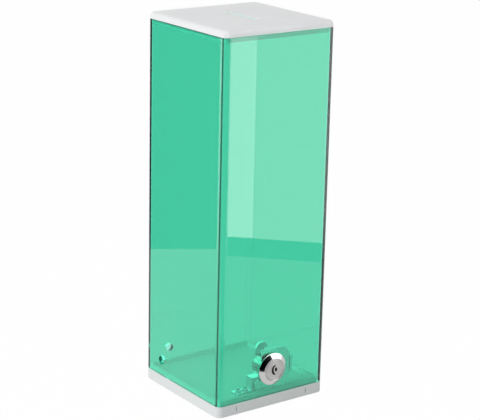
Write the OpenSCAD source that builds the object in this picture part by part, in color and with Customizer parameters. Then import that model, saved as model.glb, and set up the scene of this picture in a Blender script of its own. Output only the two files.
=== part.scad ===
// Square counter-top donation tower: a tinted tube with a moulded cap and base,
// held down by a cam lock whose hook catches a keeper on the base.
// Origin: centre of the footprint on the surface it stands on. +Z up, lock towards -Y.

/* [Tube] */
// Outside width and depth of the square tube
tower_w = 101.6; // [94:0.1:130]
// Outside radius of the tube's upright corners
corner_r = 5; // [4.4:0.1:8]
// Wall thickness of the tube
tube_wall = 3.2; // [2.6:0.1:3.8]
// Length of the tube
tube_len = 284.1; // [160:0.1:420]

/* [Chain holes] */
// Radius of the two holes that a security chain passes through
chain_hole_r = 3.4; // [2.5:0.1:5]
// Distance of each chain hole from the outside of the corner they share
chain_hole_inset = 22.5; // [18:0.5:32]
// Height of the chain holes above the bottom of the tube
chain_hole_rise = 13; // [10:0.5:40]

/* [Cap] */
// Height of the cap that shows above the tube
cap_h = 5.1; // [4.6:0.1:9]
// Radius of the rounding along the cap's top edge
cap_edge_r = 3.6; // [1:0.1:4]
// Thickness of the cap's top plate
cap_plate_t = 3; // [2:0.1:4]
// Depth of the rib under the cap that plugs into the tube
cap_rib_h = 4; // [2:0.5:8]
// Thickness of that rib
cap_rib_t = 2; // [1.5:0.1:3]

/* [Coin slot] */
// Length of the slot for coins and notes
slot_len = 42; // [30:1:70]
// Width of the slot
slot_w = 5.2; // [4.6:0.1:8]

/* [Base] */
// Height of the base's outside wall
base_h = 8.9; // [8:0.1:16]
// Thickness of the floor that the money lies on
base_floor_t = 3; // [2:0.1:5]
// Thickness of the base's outside wall
base_wall = 2.6; // [2:0.1:4]
// Thickness of the ribs under the floor
base_rib_t = 1.8; // [1.2:0.1:3]
// Number of rib bays under the floor along each side
base_bays = 5; // [5:1:7]
// Height of the locating rib that stands up inside the tube
locating_rib_h = 4; // [2:0.5:6]
// Thickness of the locating rib
locating_rib_t = 2; // [1.5:0.1:3]
// Width of the two upright release slots in the base's lock side
release_slot_w = 1.1; // [0.6:0.1:2]
// Height of the release slots
release_slot_h = 3.6; // [2:0.1:5]
// Depth of the release slots
release_slot_depth = 1.2; // [0.6:0.1:1.6]
// Distance of each release slot from the middle
release_slot_offset = 33.6; // [24:0.1:38]

/* [Feet] */
// Radius of the four rubber feet
foot_r = 5.5; // [4:0.1:7]
// Thickness of a rubber foot
foot_t = 2.4; // [2:0.1:4]
// How far the feet stand out below the base
foot_proud = 0.6; // [0.4:0.1:1.5]

/* [Lock housing] */
// Height of the lock's axis above the bottom of the tube
lock_rise = 21.5; // [21:0.1:40]
// Radius of the chromed flange
flange_r = 13; // [12:0.1:16]
// Thickness of the flange
flange_t = 3; // [2.4:0.1:3.4]
// Thickness of the flange's rim outside its bevel
flange_rim_t = 0.7; // [0.4:0.1:1.2]
// Radius of the barrel that passes through the wall
barrel_r = 9.5; // [9.2:0.1:10.5]
// Distance from the lock's axis to each flat of the barrel
barrel_flat = 8; // [7.8:0.1:8.4]
// Length of the barrel behind the flange
barrel_len = 14.2; // [13:0.1:18]
// Height of the stop ledge on the barrel's back
stop_ledge_h = 0.8; // [0.5:0.1:0.9]

/* [Plug] */
// Radius of the turning plug
plug_r = 6.95; // [6.6:0.01:7.1]
// Radius of the plug's face
plug_face_r = 8.75; // [8:0.05:8.8]
// Thickness of the plug's face
plug_face_t = 1.4; // [1:0.1:1.8]
// Radius of the plug's tang
tang_r = 4.2; // [3.6:0.1:4.6]
// Distance from the axis to each flat of the tang
tang_flat = 3.2; // [2.8:0.1:3.4]
// Height of the keyway
keyway_h = 9; // [7:0.1:9.4]
// Width of each of the keyway's two grooves
keyway_w = 2; // [1.4:0.1:2.4]
// Depth of the keyway
keyway_depth = 13; // [11:0.1:13.4]

/* [Tumblers] */
// Number of wafer tumblers
wafer_count = 5; // [3:1:5]
// Distance from one wafer to the next
wafer_pitch = 1.9; // [1.6:0.1:2]
// Thickness of a wafer
wafer_t = 1; // [0.6:0.1:1.2]
// Width of a wafer
wafer_w = 6; // [5:0.1:6.2]
// Height of a wafer
wafer_h = 11.8; // [11:0.1:12]
// Outside radius of a wafer spring
spring_r = 0.4; // [0.3:0.02:0.45]
// Radius of a wafer spring's wire
spring_wire_r = 0.07; // [0.05:0.01:0.08]
// Turns of a wafer spring
spring_turns = 6; // [4:1:6]
// How far the retainer stands out of the plug into its groove
retainer_proud = 0.6; // [0.4:0.05:0.7]

/* [Cam] */
// Thickness of the stop plate
stop_plate_t = 1; // [1:0.1:1.5]
// Thickness of the cam
cam_t = 2; // [1.5:0.1:3]
// Width of the cam
cam_w = 12; // [11:0.1:12.6]
// Distance from the lock's axis to the cam's tip
cam_reach = 17.5; // [17:0.1:17.8]
// Distance from the axis to the inner side of the cam's notch
notch_from = 7.3; // [7:0.1:7.6]
// Distance from the axis to the outer side of the cam's notch
notch_to = 13; // [12.9:0.05:13.4]
// Depth of the cam's notch, from its edge
notch_depth = 3.5; // [3.2:0.1:4]
// Thickness of the lock washer
lock_washer_t = 0.9; // [0.6:0.1:1.2]
// Radius of the cam screw's thread
cam_screw_r = 2; // [1.5:0.1:2.2]
// Length of the cam screw's thread
cam_screw_len = 7; // [6:0.1:7.4]

/* [Spring clip] */
// Thickness of the horseshoe clip
clip_t = 1; // [0.7:0.1:1.2]
// Distance from the axis to the outside of each leg
clip_half_h = 10.5; // [9.6:0.1:12]
// Length of the folded lip along each leg
clip_lip = 5.6; // [3:0.1:5.8]
// Distance from the axis to the clip's closed end
clip_reach = 18.5; // [16:0.1:22]
// Distance from the axis to the end of the legs' folded lips
clip_legs_to = 8; // [6:0.1:9]
// How deep the clip seats in the barrel's flats
clip_groove = 0.9; // [0.6:0.1:1.2]

/* [Keeper] */
// Width of the keeper along the lock's axis
keeper_w = 8; // [6:0.5:10]
// Thickness of the keeper's foot
keeper_foot_t = 2; // [1.5:0.1:2.4]
// Thickness of the keeper's post and lip
keeper_t = 3; // [2.4:0.1:3.2]
// Length of the keeper's foot
keeper_foot_len = 17.5; // [16:0.5:22]
// Radius of the keeper screws' thread
keeper_screw_r = 1.5; // [1:0.1:1.6]
// Distance between the two keeper screws
keeper_screw_gap = 6.5; // [6:0.1:8]

/* [Clearances] */
// Gap between the base's locating rib and the inside of the tube
rib_gap = 0.3; // [0.2:0.05:0.6]
// Gap between the cap's rib and the inside of the tube
cap_gap = 0.1; // [0.05:0.05:0.3]
// Radial gap round the turning plug
plug_gap = 0.05; // [0.03:0.01:0.1]
// Gap round parts that only fit over or into each other
part_gap = 0.15; // [0.1:0.01:0.2]
// Gap between the keeper's lip and the cam's hook when the box is locked
hook_gap = 0.5; // [0.3:0.1:0.8]

/* [Hidden] */
$fn = 96;

overlap = 0.5;                                  // how far a cutter runs past the face it cuts
tube_z0 = foot_proud + base_h;                  // bottom of the tube, and the top of the base
tube_z1 = tube_z0 + tube_len;
bore_w = tower_w - 2 * tube_wall;               // inside width of the tube
bore_r = corner_r - tube_wall;                  // inside radius of its corners

wall_y = -tower_w / 2;                          // outside of the lock's wall
lock_z = tube_z0 + lock_rise;
bore_plug_r = plug_r + plug_gap;
recess_r = plug_face_r + plug_gap;
barrel_end = barrel_len;                        // all lock lengths run from the wall's outside
plate_from = barrel_end + plug_gap * 2;         // front of the stop plate
cam_from = plate_from + stop_plate_t;
cam_to = cam_from + cam_t;
washer_to = cam_to + lock_washer_t;
cam_mid_y = wall_y + (cam_from + cam_to) / 2;
cam_screw_head_r = cam_screw_r * 1.9;
cam_screw_head_h = cam_screw_r * 1.3;

retainer_t = wafer_t;
retainer_at = barrel_end - 2.2;                 // front of the retainer
groove_r = min(plug_r + retainer_proud + plug_gap * 4, barrel_flat - 0.2);
wafer_from = 1.6;                               // front of the first wafer

stop_ear_half = 13;                             // half the angle of the stop plate's ear
stop_span = 180;                                // the plug turns half a turn
stop_ledge_half = (360 - stop_span - 2 * stop_ear_half - 4) / 2;
stop_ledge_in = plug_r + plug_gap + 0.35;
stop_ledge_out = barrel_r - 0.1;

hook_from = notch_to;                           // the hook lies outside the notch
keeper_lip_top = lock_z - hook_from + hook_gap + keeper_t;
keeper_lip_x = -(cam_w / 2 - notch_depth + hook_gap);
keeper_post_in = -(cam_w / 2 + 4 * hook_gap);
keeper_post_out = keeper_post_in - keeper_t;
keeper_foot_end = keeper_post_in - keeper_foot_len;
keeper_y0 = cam_mid_y - keeper_w / 2;
keeper_screw_head_r = keeper_screw_r * 1.75;
keeper_screw_head_h = keeper_screw_r * 1.2;
keeper_screw_mid = (keeper_foot_end + keeper_post_out) / 2;
keeper_screw_x = [for (s = [-1, 1]) keeper_screw_mid + s * keeper_screw_gap / 2];
keeper_screw_len = tube_z0 + keeper_foot_t - foot_proud - 1.2;
boss_wall = 1.9;                                // plastic round each keeper screw

bay = (tower_w - 2 * base_wall + base_rib_t) / base_bays;
foot_xy = tower_w / 2 - base_wall + base_rib_t / 2 - bay / 2;

white = "#F1F2F2";
tint = [0.27, 0.8, 0.6, 0.45];
chrome_col = "#C9CCCE";
zinc_col = "#AFB2B4";
steel_col = "#8E9295";
brass_col = "#B99A55";
rubber_col = "#2A2C2E";

// ---- outlines --------------------------------------------------------------

// Square with round corners, centred
module round_square(w, r) {
    square([w, w - 2 * r], center = true);
    square([w - 2 * r, w], center = true);
    for (x = [-1, 1], y = [-1, 1])
        translate([x * (w / 2 - r), y * (w / 2 - r)]) circle(r);
}

// Ring between a round square and a smaller one inside it
module round_frame(w, r, t) {
    difference() {
        round_square(w, r);
        round_square(w - 2 * t, max(r - t, 0.4));
    }
}

// Half of the cap's cross-section out from a corner's centre, top edge rounded
module cap_edge_outline() {
    square([corner_r - cap_edge_r, cap_h]);
    square([corner_r, cap_h - cap_edge_r]);
    intersection() {
        translate([corner_r - cap_edge_r, cap_h - cap_edge_r]) circle(cap_edge_r);
        square([corner_r, cap_h]);
    }
}

// Circle cut by two flats, as a barrel or a tang
module double_flat(r, flat) {
    intersection() {
        circle(r);
        square([2 * r, 2 * flat], center = true);
    }
}

// Places a lock part drawn round +Z so that it runs inwards from the wall's outside
module on_lock_axis(from = 0) {
    translate([0, wall_y + from, lock_z]) rotate([-90, 0, 0]) children();
}

// Part of a ring between two radii, centred on an angle
module ring_sector(r_in, r_out, mid, half) {
    difference() {
        intersection() {
            circle(r_out);
            polygon(concat([[0, 0]], [for (i = [-4 : 4])
                2 * r_out * [cos(mid + i * half / 4), sin(mid + i * half / 4)]]));
        }
        circle(r_in);
    }
}

// ---- case: tube, cap, and what is fixed in its wall -------------------------

module tube() {
    color(tint) difference() {
        translate([0, 0, tube_z0]) linear_extrude(tube_len) round_square(tower_w, corner_r);
        translate([0, 0, tube_z0 - overlap])
            linear_extrude(tube_len + 2 * overlap) round_square(bore_w, bore_r);
        on_lock_axis(-overlap) linear_extrude(tube_wall + 2 * overlap)
            double_flat(barrel_r + part_gap, barrel_flat + part_gap);
        chain_holes();
    }
}

// Two holes either side of the far left corner, square to their walls
module chain_holes() {
    across = tower_w / 2 - chain_hole_inset;
    z = tube_z0 + chain_hole_rise;
    cut = tube_wall + 2 * overlap;
    translate([-tower_w / 2 - overlap, across, z]) rotate([0, 90, 0]) cylinder(cut, r = chain_hole_r);
    translate([-across, tower_w / 2 + overlap, z]) rotate([90, 0, 0]) cylinder(cut, r = chain_hole_r);
}

module top_cap() {
    side = tower_w - 2 * corner_r;
    rib_w = bore_w - 2 * cap_gap;
    color(white) difference() {
        union() {
            translate([0, 0, tube_z1]) {
                translate([-side / 2, -side / 2, 0]) cube([side, side, cap_h]);
                for (a = [0 : 90 : 270]) rotate(a) {
                    translate([side / 2, side / 2, 0]) rotate([90, 0, 0])
                        linear_extrude(side) cap_edge_outline();
                    translate([side / 2, side / 2, 0]) rotate_extrude() cap_edge_outline();
                }
            }
            translate([0, 0, tube_z1 - cap_rib_h])
                linear_extrude(cap_rib_h + 0.2) round_square(rib_w, bore_r);
        }
        translate([0, 0, tube_z1 - cap_rib_h - overlap])
            linear_extrude(cap_rib_h + overlap + cap_h - cap_plate_t)
                round_square(rib_w - 2 * cap_rib_t, 0.8);
        translate([0, 0, tube_z1]) linear_extrude(cap_h + overlap) coin_slot_outline();
    }
}

// Slot with small round corners, long side along Y
module coin_slot_outline() {
    r = 1;
    square([slot_w, slot_len - 2 * r], center = true);
    square([slot_w - 2 * r, slot_len], center = true);
    for (x = [-1, 1], y = [-1, 1])
        translate([x * (slot_w / 2 - r), y * (slot_len / 2 - r)]) circle(r, $fn = 32);
}

// Flange, barrel with flats, bore, retainer groove and stop ledge in one casting
module lock_housing() {
    color(chrome_col) on_lock_axis() difference() {
        union() {
            rotate_extrude() polygon([
                [0, 0], [flange_r, 0], [flange_r, -flange_rim_t],
                [recess_r + 0.7, -flange_t], [0, -flange_t]]);
            linear_extrude(barrel_end) double_flat(barrel_r, barrel_flat);
            translate([0, 0, barrel_end - 0.2]) linear_extrude(stop_ledge_h + 0.2)
                intersection() {
                    ring_sector(stop_ledge_in, stop_ledge_out, 180, stop_ledge_half);
                    square([2 * barrel_r, 2 * barrel_flat], center = true);
                }
        }
        translate([0, 0, -flange_t - overlap]) cylinder(plug_face_t + overlap + plug_gap, r = recess_r);
        translate([0, 0, -flange_t]) cylinder(flange_t + barrel_end + stop_ledge_h + overlap, r = bore_plug_r);
        translate([0, 0, retainer_at - plug_gap * 3])
            cylinder(retainer_t + plug_gap * 6, r = groove_r);
        for (s = [-1, 1]) translate([0, s * (barrel_flat - clip_groove + 2), tube_wall + clip_t / 2])
            cube([2 * barrel_r, 4, clip_t + 2 * plug_gap], center = true);
    }
}

// Horseshoe clip that slides in behind the wall and grips the barrel's flats
module spring_clip() {
    inner = barrel_flat - clip_groove + plug_gap;
    upper_end = -9;
    lower_end = -13.4;                          // the lower leg is the longer one
    tab = [2.8, 14.4];
    color(chrome_col) on_lock_axis(tube_wall) {
        linear_extrude(clip_t) difference() {
            union() {
                mirror([0, 1]) clip_leg(upper_end);
                clip_leg(lower_end);
                clip_closed_end();
                translate([clip_reach - 0.6, -tab.y / 2]) square([tab.x + 0.6, tab.y]);
            }
            translate([lower_end - 1, -inner])
                square([barrel_r + plug_gap - lower_end + 1, 2 * inner]);
        }
        mirror([0, 1, 0]) clip_leg_lip(upper_end);
        clip_leg_lip(lower_end);
    }
}

module clip_leg(leg_end) {
    translate([leg_end, 0]) square([clip_legs_to - leg_end + 0.2, clip_half_h]);
}

// Flat end that joins the legs, as tall as their lips reach and round at its corners
module clip_closed_end() {
    half = clip_half_h + clip_lip;
    r = clip_reach - clip_legs_to;
    intersection() {
        union() {
            square([2 * clip_reach, 2 * (half - r)], center = true);
            for (s = [-1, 1]) translate([clip_legs_to, s * (half - r)]) circle(r);
        }
        translate([clip_legs_to, -half]) square([r, 2 * half]);
    }
}

// Lip folded back along a leg's outer edge
module clip_leg_lip(leg_end) {
    rise = clip_t * 1.6;
    root = clip_half_h - 0.6;
    tip = clip_half_h + clip_lip;
    translate([leg_end, 0, 0]) rotate([90, 0, 90]) linear_extrude(clip_legs_to - leg_end) polygon([
        [root, 0], [clip_half_h, 0], [tip, rise],
        [tip, rise + clip_t], [clip_half_h, clip_t], [root, clip_t]]);
}

// ---- core: what turns with the key ------------------------------------------

// Two grooves set side by side, so that the key has only one way in
module keyway_outline() {
    half = keyway_h / 2;
    translate([-keyway_w, -half + 1.2]) square([keyway_w, half - 0.2]);
    translate([-0.4, -1]) square([keyway_w, half]);
    translate([-keyway_w * 0.7, -half]) square([keyway_w * 0.7, 1.6]);
    translate([-keyway_w * 0.2, half - 1.4]) square([keyway_w * 0.7, 1.4]);
}

// The slots that the wafers and the retainer slide in
module wafer_slot(from, t) {
    slide = plug_gap * 2;
    translate([0, 0, from - slide])
        linear_extrude(t + 2 * slide) square([wafer_w + 2 * slide, 2 * plug_r + 1], center = true);
}

module lock_plug() {
    face_back = -flange_t + plug_face_t;
    color(zinc_col) on_lock_axis() difference() {
        union() {
            translate([0, 0, -flange_t]) cylinder(plug_face_t, r = plug_face_r);
            translate([0, 0, face_back - 0.1]) cylinder(plate_from - face_back + 0.1, r = plug_r);
            translate([0, 0, plate_from - 0.1])
                linear_extrude(stop_plate_t + cam_t - 0.1) double_flat(tang_r, tang_flat);
        }
        translate([0, 0, -flange_t - overlap]) linear_extrude(keyway_depth + overlap) keyway_outline();
        for (i = [0 : wafer_count - 1]) wafer_slot(wafer_from + i * wafer_pitch, wafer_t);
        wafer_slot(retainer_at, retainer_t);
        translate([0, 0, washer_to - cam_screw_len - 0.4])
            cylinder(cam_screw_len + 1, r = cam_screw_r + plug_gap);
    }
}

// Plate with a window for the key, each window at its own height
module wafer(step) {
    window = [3.2, 6.4];
    linear_extrude(wafer_t) difference() {
        square([wafer_w, wafer_h], center = true);
        translate([0, step]) square(window, center = true);
    }
}

module wafer_tumblers() {
    steps = [0, 0.5, -0.5, 0.8, -0.2];
    color(brass_col) on_lock_axis()
        for (i = [0 : wafer_count - 1])
            translate([0, 0, wafer_from + i * wafer_pitch]) wafer(steps[i]);
}

// A closed coil standing on end beside the key's way
module coil_spring() {
    for (i = [0 : spring_turns - 1]) translate([0, 0, (i + 0.5) * 2 * spring_wire_r])
        rotate_extrude($fn = 32) translate([spring_r - spring_wire_r, 0])
            circle(spring_wire_r * 1.04, $fn = 16);
}

// A spring standing between a wafer's upper edge and the bore
module spring_over_wafer(from, t) {
    on_lock_axis(from + t / 2) translate([0, -wafer_h / 2 - plug_gap, 0])
        rotate([90, 0, 0]) coil_spring();
}

module wafer_springs() {
    color(steel_col)
        for (i = [0 : wafer_count - 1]) spring_over_wafer(wafer_from + i * wafer_pitch, wafer_t);
}

// Plate round the cam screw, whose lower end runs in a groove of the housing
module plug_retainer() {
    reach = plug_r + retainer_proud;
    color(brass_col) on_lock_axis(retainer_at) linear_extrude(retainer_t) difference() {
        intersection() {
            translate([-wafer_w / 2, -wafer_h / 2]) square([wafer_w, wafer_h / 2 + reach]);
            circle(reach);
        }
        circle(cam_screw_r + part_gap);
    }
}

module retainer_spring() {
    color(steel_col) spring_over_wafer(retainer_at, retainer_t);
}

// Disc with one ear that runs against the housing's stop ledge
module stop_plate() {
    color(steel_col) on_lock_axis(plate_from) linear_extrude(stop_plate_t) difference() {
        union() {
            circle(stop_ledge_in - 0.3);
            ring_sector(tang_r + 0.5, stop_ledge_out - 0.1, -90, stop_ear_half);
        }
        double_flat(tang_r + plug_gap, tang_flat + plug_gap);
    }
}

// Hooked arm, drawn pointing up, with its notch on the side that leads when locking
module lock_cam() {
    half = cam_w / 2;
    color(zinc_col) on_lock_axis(cam_from) linear_extrude(cam_t) difference() {
        union() {
            circle(half + 1.6);
            translate([-half, -cam_reach + half]) square([cam_w, cam_reach - half]);
            translate([0, -cam_reach + half]) circle(half);
        }
        double_flat(tang_r + plug_gap, tang_flat + plug_gap);
        translate([half - notch_depth, -notch_to]) square([notch_depth + 3, notch_to - notch_from]);
    }
}

module lock_washer() {
    color(steel_col) on_lock_axis(cam_to) difference() {
        cylinder(lock_washer_t, r = cam_screw_r * 2);
        translate([0, 0, -overlap]) cylinder(lock_washer_t + 2 * overlap, r = cam_screw_r + part_gap);
        translate([0, -0.4, -overlap]) cube([cam_screw_r * 3, 0.8, lock_washer_t + 2 * overlap]);
    }
}

// Pan head with a cross recess
module cross_head_screw(r, len, head_r, head_h) {
    recess = [head_r * 1.2, head_r * 0.32, head_h * 0.55];
    translate([0, 0, -len]) cylinder(len + 0.1, r = r);
    difference() {
        intersection() {
            cylinder(head_h, r = head_r);
            translate([0, 0, head_h - 2.2 * head_r]) sphere(2.2 * head_r);
        }
        for (a = [0, 90]) rotate(a)
            translate([0, 0, head_h]) cube([recess.x, recess.y, 2 * recess.z], center = true);
    }
}

module cam_screw() {
    color(steel_col) on_lock_axis(washer_to)
        cross_head_screw(cam_screw_r, cam_screw_len, cam_screw_head_r, cam_screw_head_h);
}

// ---- base -------------------------------------------------------------------

module base() {
    rib_w = bore_w - 2 * rib_gap;
    color(white) difference() {
        union() {
            difference() {
                translate([0, 0, foot_proud]) linear_extrude(base_h) round_square(tower_w, corner_r);
                base_bays_cut();
            }
            translate([0, 0, tube_z0 - 0.2])
                linear_extrude(locating_rib_h + 0.2) round_frame(rib_w, bore_r, locating_rib_t);
            for (x = keeper_screw_x) translate([x, cam_mid_y, foot_proud])
                cylinder(base_h - 0.2, r = keeper_screw_r + boss_wall);
        }
        for (x = keeper_screw_x) translate([x, cam_mid_y, tube_z0 + keeper_foot_t - keeper_screw_len - 0.3])
            cylinder(keeper_screw_len + 1, r = keeper_screw_r + plug_gap);
        for (x = [-1, 1], y = [-1, 1]) translate([x * foot_xy, y * foot_xy, 0])
            cylinder(foot_t, r = foot_r + part_gap);
        for (s = [-1, 1]) translate([
                s * release_slot_offset - release_slot_w / 2, wall_y - overlap,
                foot_proud + (base_h - release_slot_h) / 2])
            cube([release_slot_w, release_slot_depth + overlap, release_slot_h]);
    }
}

// Hollows under the floor, with a solid block left at each corner for a foot
module base_bays_cut() {
    clear = bay - base_rib_t;
    first = -tower_w / 2 + base_wall;
    last = base_bays - 1;
    for (i = [0 : last], j = [0 : last])
        if (!((i == 0 || i == last) && (j == 0 || j == last)))
            translate([first + i * bay, first + j * bay, foot_proud - overlap])
                cube([clear, clear, base_h - base_floor_t + overlap]);
}

module rubber_feet() {
    color(rubber_col)
        for (x = [-1, 1], y = [-1, 1]) translate([x * foot_xy, y * foot_xy, 0])
            cylinder(foot_t, r = foot_r);
}

// Bracket with a lip that the cam's hook turns under
module keeper() {
    floor_z = tube_z0;
    lip_under = keeper_lip_top - keeper_t;
    color(zinc_col) difference() {
        translate([0, keeper_y0 + keeper_w, 0]) rotate([90, 0, 0]) linear_extrude(keeper_w) polygon([
            [keeper_foot_end, floor_z], [keeper_post_in, floor_z], [keeper_post_in, lip_under],
            [keeper_lip_x, lip_under], [keeper_lip_x, keeper_lip_top], [keeper_post_out, keeper_lip_top],
            [keeper_post_out, floor_z + keeper_foot_t], [keeper_foot_end, floor_z + keeper_foot_t]]);
        for (x = keeper_screw_x) translate([x, cam_mid_y, floor_z - overlap])
            cylinder(keeper_foot_t + 2 * overlap, r = keeper_screw_r + part_gap);
    }
}

module keeper_screws() {
    color(steel_col)
        for (x = keeper_screw_x) translate([x, cam_mid_y, tube_z0 + keeper_foot_t])
            cross_head_screw(keeper_screw_r, keeper_screw_len, keeper_screw_head_r, keeper_screw_head_h);
}

tube();
top_cap();
lock_housing();
spring_clip();
lock_plug();
wafer_tumblers();
wafer_springs();
plug_retainer();
retainer_spring();
stop_plate();
lock_cam();
lock_washer();
cam_screw();
base();
rubber_feet();
keeper();
keeper_screws();
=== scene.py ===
import math
import bpy
import bmesh
from mathutils import Matrix, Vector


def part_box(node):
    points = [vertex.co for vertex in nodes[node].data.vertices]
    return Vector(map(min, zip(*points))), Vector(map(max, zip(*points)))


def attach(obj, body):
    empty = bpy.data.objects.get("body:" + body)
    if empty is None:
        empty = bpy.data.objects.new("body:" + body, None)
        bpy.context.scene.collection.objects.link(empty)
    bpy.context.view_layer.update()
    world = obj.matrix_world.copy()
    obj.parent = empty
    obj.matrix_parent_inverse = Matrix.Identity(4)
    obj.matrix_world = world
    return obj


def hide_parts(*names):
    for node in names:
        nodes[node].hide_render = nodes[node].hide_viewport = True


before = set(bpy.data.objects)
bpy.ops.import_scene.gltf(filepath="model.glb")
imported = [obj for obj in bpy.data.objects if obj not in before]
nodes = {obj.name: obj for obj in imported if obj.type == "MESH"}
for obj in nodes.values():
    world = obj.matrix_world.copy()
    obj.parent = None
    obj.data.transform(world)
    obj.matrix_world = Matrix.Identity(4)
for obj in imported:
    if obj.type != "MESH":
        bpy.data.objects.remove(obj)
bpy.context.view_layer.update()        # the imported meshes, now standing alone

mm = 0.001


def edgesOf(node):
    low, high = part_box(node)
    return Vector(low), Vector(high)


# places that several pieces share, all read from the frame
tubeLow, tubeHigh = edgesOf("tube")
capLow, capHigh = edgesOf("top_cap")
baseLow, baseHigh = edgesOf("base")
housingLow, housingHigh = edgesOf("lock_housing")
halfWidth = tubeHigh.x
wallFace = -halfWidth                                   # outside of the lock's wall
lockHeight = (housingLow.z + housingHigh.z) / 2
flangeRadius = (housingHigh.x - housingLow.x) / 2

tower = {"cornerRadius": 5 * mm, "innerRadius": 1.8 * mm, "leastRadius": 0.2 * mm,
         "wall": 3.2 * mm, "cornerSteps": 14}
meshing = {"weld": 0.001 * mm, "drawingWeld": 0.002, "flatsWeight": 80, "latheSteps": 96,
           "cutPast": 1 * mm}                           # drawings are in mm
arcMiddle = 0.3        # how far in a rounded edge's middle lies, as a share of its radius

# camera

shot = {"azimuth": -36.134, "elevation": 16.42, "roll": 1.2607, "distance": 1.24202,
        "side": 0.0023, "height": 0.14638, "lens": 119.70, "sensor": 36}


def addCamera():
    azimuth, elevation, roll = (math.radians(shot[k]) for k in ("azimuth", "elevation", "roll"))
    back = Vector((math.sin(azimuth) * math.cos(elevation),
                   -math.cos(azimuth) * math.cos(elevation), math.sin(elevation)))
    right = Vector((math.cos(azimuth), math.sin(azimuth), 0))
    up = back.cross(right)
    rolledRight = right * math.cos(roll) + up * math.sin(roll)
    rolledUp = up * math.cos(roll) - right * math.sin(roll)
    place = right * shot["side"] + Vector((0, 0, shot["height"])) + back * shot["distance"]
    data = bpy.data.cameras.new("camera")
    data.sensor_width = shot["sensor"]
    data.lens = shot["lens"]
    data.clip_start = 0.01
    camera = bpy.data.objects.new("camera", data)
    bpy.context.scene.collection.objects.link(camera)
    turn = Matrix((rolledRight, rolledUp, back)).transposed().to_4x4()
    camera.matrix_world = Matrix.Translation(place) @ turn
    bpy.context.scene.camera = camera


addCamera()
print("camera placed")

# mesh helpers


def linkMesh(name, mesh):
    piece = bpy.data.objects.new(name, mesh)
    bpy.context.scene.collection.objects.link(piece)
    return piece


def bakeModifiers(piece):
    # the modifiers' result becomes a plain mesh
    view = bpy.context.evaluated_depsgraph_get()
    mesh = bpy.data.meshes.new_from_object(piece.evaluated_get(view), depsgraph=view)
    mesh.name = piece.name
    old = piece.data
    piece.modifiers.clear()
    piece.data = mesh
    bpy.data.meshes.remove(old)
    return piece


def smoothFaces(piece, sharpAbove):
    # smooth, but hard above an angle, with big flats kept flat
    piece.data.polygons.foreach_set("use_smooth", [True] * len(piece.data.polygons))
    piece.data.set_sharp_from_angle(angle=math.radians(sharpAbove))
    weigh = piece.modifiers.new("flats", "WEIGHTED_NORMAL")
    weigh.keep_sharp = True
    weigh.weight = meshing["flatsWeight"]
    return bakeModifiers(piece)


def roundLoop(halfX, halfY, radius, z):
    steps = tower["cornerSteps"]
    radius = max(radius, tower["leastRadius"])
    points = []
    for quarter, (sx, sy) in enumerate(((1, 1), (-1, 1), (-1, -1), (1, -1))):
        for i in range(steps + 1):
            a = math.radians(90 * quarter + 90 * i / steps)
            points.append((sx * (halfX - radius) + radius * math.cos(a),
                           sy * (halfY - radius) + radius * math.sin(a), z))
    return points


def insetLoop(inset, z):
    # the tower's outline moved inwards
    half = halfWidth - inset
    return roundLoop(half, half, tower["cornerRadius"] - inset, z)


def loftMesh(name, loops, closed=False, capFirst=False, capLast=False):
    shape = bmesh.new()
    rings = [[shape.verts.new(p) for p in loop] for loop in loops]
    pairs = list(zip(rings, rings[1:]))
    if closed:
        pairs.append((rings[-1], rings[0]))
    for a, b in pairs:
        for i in range(len(a)):
            j = (i + 1) % len(a)
            shape.faces.new((a[i], a[j], b[j], b[i]))
    if capFirst:
        shape.faces.new(rings[0])
    if capLast:
        shape.faces.new(rings[-1])
    bmesh.ops.remove_doubles(shape, verts=shape.verts, dist=meshing["weld"])
    bmesh.ops.recalc_face_normals(shape, faces=shape.faces)
    mesh = bpy.data.meshes.new(name)
    shape.to_mesh(mesh)
    shape.free()
    return mesh


def onLock(x, depth, up):
    # lock places: depth runs inwards from the wall's outside
    return (x, wallFace + depth, lockHeight + up)


def runOnLock(start, stop):
    # puts an outline round the lock's axis, between two depths; all in mm
    return lambda x, y, end: onLock(x * mm, (start, stop)[end] * mm, y * mm)


def latheMesh(name, profile, closed=True):
    # profile points are (radius, depth) in mm
    steps = meshing["latheSteps"]
    loops = []
    for radius, depth in profile:
        loops.append([onLock(radius * mm * math.cos(t), depth * mm, radius * mm * math.sin(t))
                      for t in (2 * math.pi * i / steps for i in range(steps))])
    return loftMesh(name, loops, closed)


def arcPoints(cx, cy, radius, fromAngle, toAngle, steps):
    turns = [math.radians(fromAngle + (toAngle - fromAngle) * i / steps) for i in range(steps + 1)]
    return [(cx + radius * math.cos(a), cy + radius * math.sin(a)) for a in turns]


def doubleFlat(radius, flat, steps=20):
    a = math.degrees(math.asin(flat / radius))
    return arcPoints(0, 0, radius, -a, a, steps) + arcPoints(0, 0, radius, 180 - a, 180 + a, steps)


def prismMesh(name, outline, place):
    # an outline run between two ends; place(x, y, end) gives each point
    return loftMesh(name, [[place(x, y, end) for x, y in outline] for end in (0, 1)],
                    capFirst=True, capLast=True)


def boxMesh(name, low, high):
    corners = [(low[0], low[1]), (high[0], low[1]), (high[0], high[1]), (low[0], high[1])]
    return prismMesh(name, corners, lambda x, y, end: (x, y, (low[2], high[2])[end]))


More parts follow.
